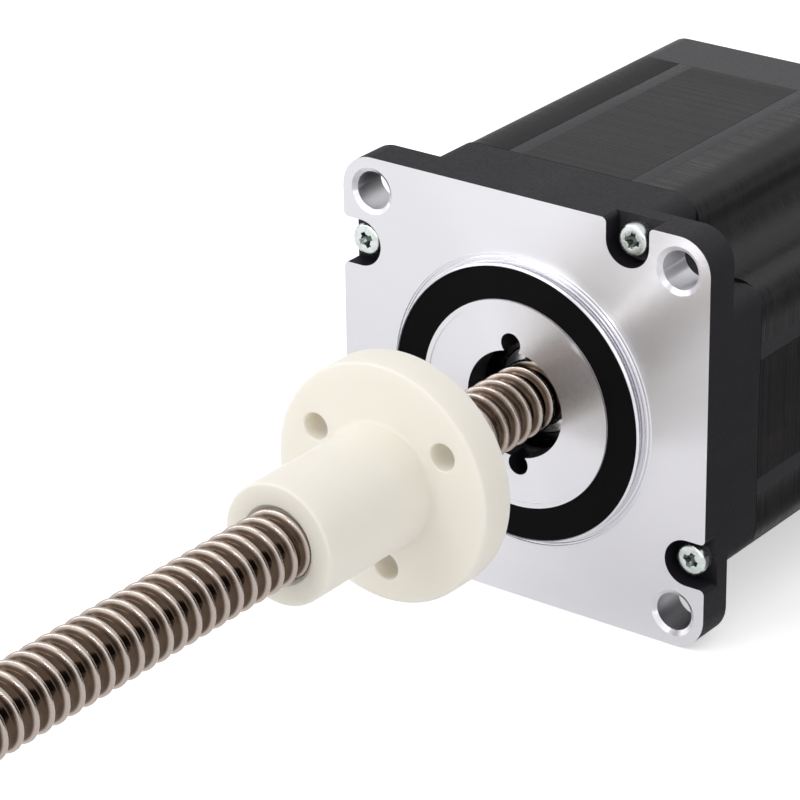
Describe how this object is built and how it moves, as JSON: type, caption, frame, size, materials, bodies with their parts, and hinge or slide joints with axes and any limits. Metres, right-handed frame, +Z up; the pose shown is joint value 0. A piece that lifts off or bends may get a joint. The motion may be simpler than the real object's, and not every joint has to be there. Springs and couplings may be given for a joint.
{
  "type": "linear stepper motor",
  "caption": "Square stepper motor whose shaft is a long lead screw that drives a flanged plastic nut along its length.",
  "frame": {"origin": "centre of the mounting face, on the shaft axis", "axes": "-Y out of the mounting face along the screw, +Z up, +X to the right seen from the screw's tip"},
  "size_m": [0.0564, 0.2126, 0.0564],
  "materials": {
    "bell_casting": "black paint on die-cast aluminium, mounting face machined bright",
    "lamination_steel": "stacked electrical steel sheets, painted black",
    "enamelled_copper": "enamelled copper wire",
    "white_nylon": "moulded glass-filled nylon",
    "zinc_steel": "bright zinc plate",
    "grommet_rubber": "moulded rubber",
    "bearing_steel": "ground bearing steel",
    "shield_steel": "pressed steel sheet",
    "cage_nylon": "moulded nylon",
    "stainless_steel": "rolled thread, bright stainless steel",
    "rotor_steel": "ground electrical steel",
    "magnet_nickel": "nickel-plated magnet",
    "ivory_acetal": "moulded and machined acetal, ivory"
  },
  "bodies": {
    "housing": {"front_end_bell": "bell_casting", "rear_end_bell": "bell_casting", "stator_stack": "lamination_steel", "phase_a_coils": "enamelled_copper", "phase_b_coils": "enamelled_copper", "front_insulator": "white_nylon", "rear_insulator": "white_nylon", "tie_screws": "zinc_steel", "tie_screw_washers": "zinc_steel", "lead_grommet": "grommet_rubber", "preload_washer": "bearing_steel", "front_bearing_outer_ring": "bearing_steel", "front_bearing_shields": "shield_steel", "rear_bearing_outer_ring": "bearing_steel", "rear_bearing_shields": "shield_steel"},
    "rotor": {"lead_screw": "stainless_steel", "rotor_cup_front": "rotor_steel", "rotor_cup_rear": "rotor_steel", "rotor_magnet": "magnet_nickel", "front_spacer": "bearing_steel", "rear_spacer": "bearing_steel", "front_bearing_inner_ring": "bearing_steel", "rear_bearing_inner_ring": "bearing_steel"},
    "front_ball_set": {"front_bearing_balls": "bearing_steel", "front_bearing_cage": "cage_nylon"},
    "rear_ball_set": {"rear_bearing_balls": "bearing_steel", "rear_bearing_cage": "cage_nylon"},
    "nut": {"flange_nut": "ivory_acetal"}
  },
  "joints": [
    {"name": "screw_spin", "type": "hinge", "parent": "housing", "child": "rotor", "pos_m": [0, 0, 0], "axis": [0, 1, 0], "range_deg": [-3047, 13464]},
    {"name": "nut_travel", "type": "slide", "parent": "housing", "child": "nut", "axis": [0, -1, 0], "range_m": [-0.0215, 0.095]},
    {"name": "front_ball_orbit", "type": "hinge", "parent": "housing", "child": "front_ball_set", "pos_m": [0, 0.0079, 0], "axis": [0, 1, 0], "range_deg": [-1121, 4951]},
    {"name": "rear_ball_orbit", "type": "hinge", "parent": "housing", "child": "rear_ball_set", "pos_m": [0, 0.05678, 0], "axis": [0, 1, 0], "range_deg": [-1097, 4848]}
  ],
  "couplings": [
    {"joint": "nut_travel", "follows": "screw_spin", "m_per_rad": 0.00040425},
    {"joint": "front_ball_orbit", "follows": "screw_spin", "ratio": 0.3677},
    {"joint": "rear_ball_orbit", "follows": "screw_spin", "ratio": 0.36}
  ]
}
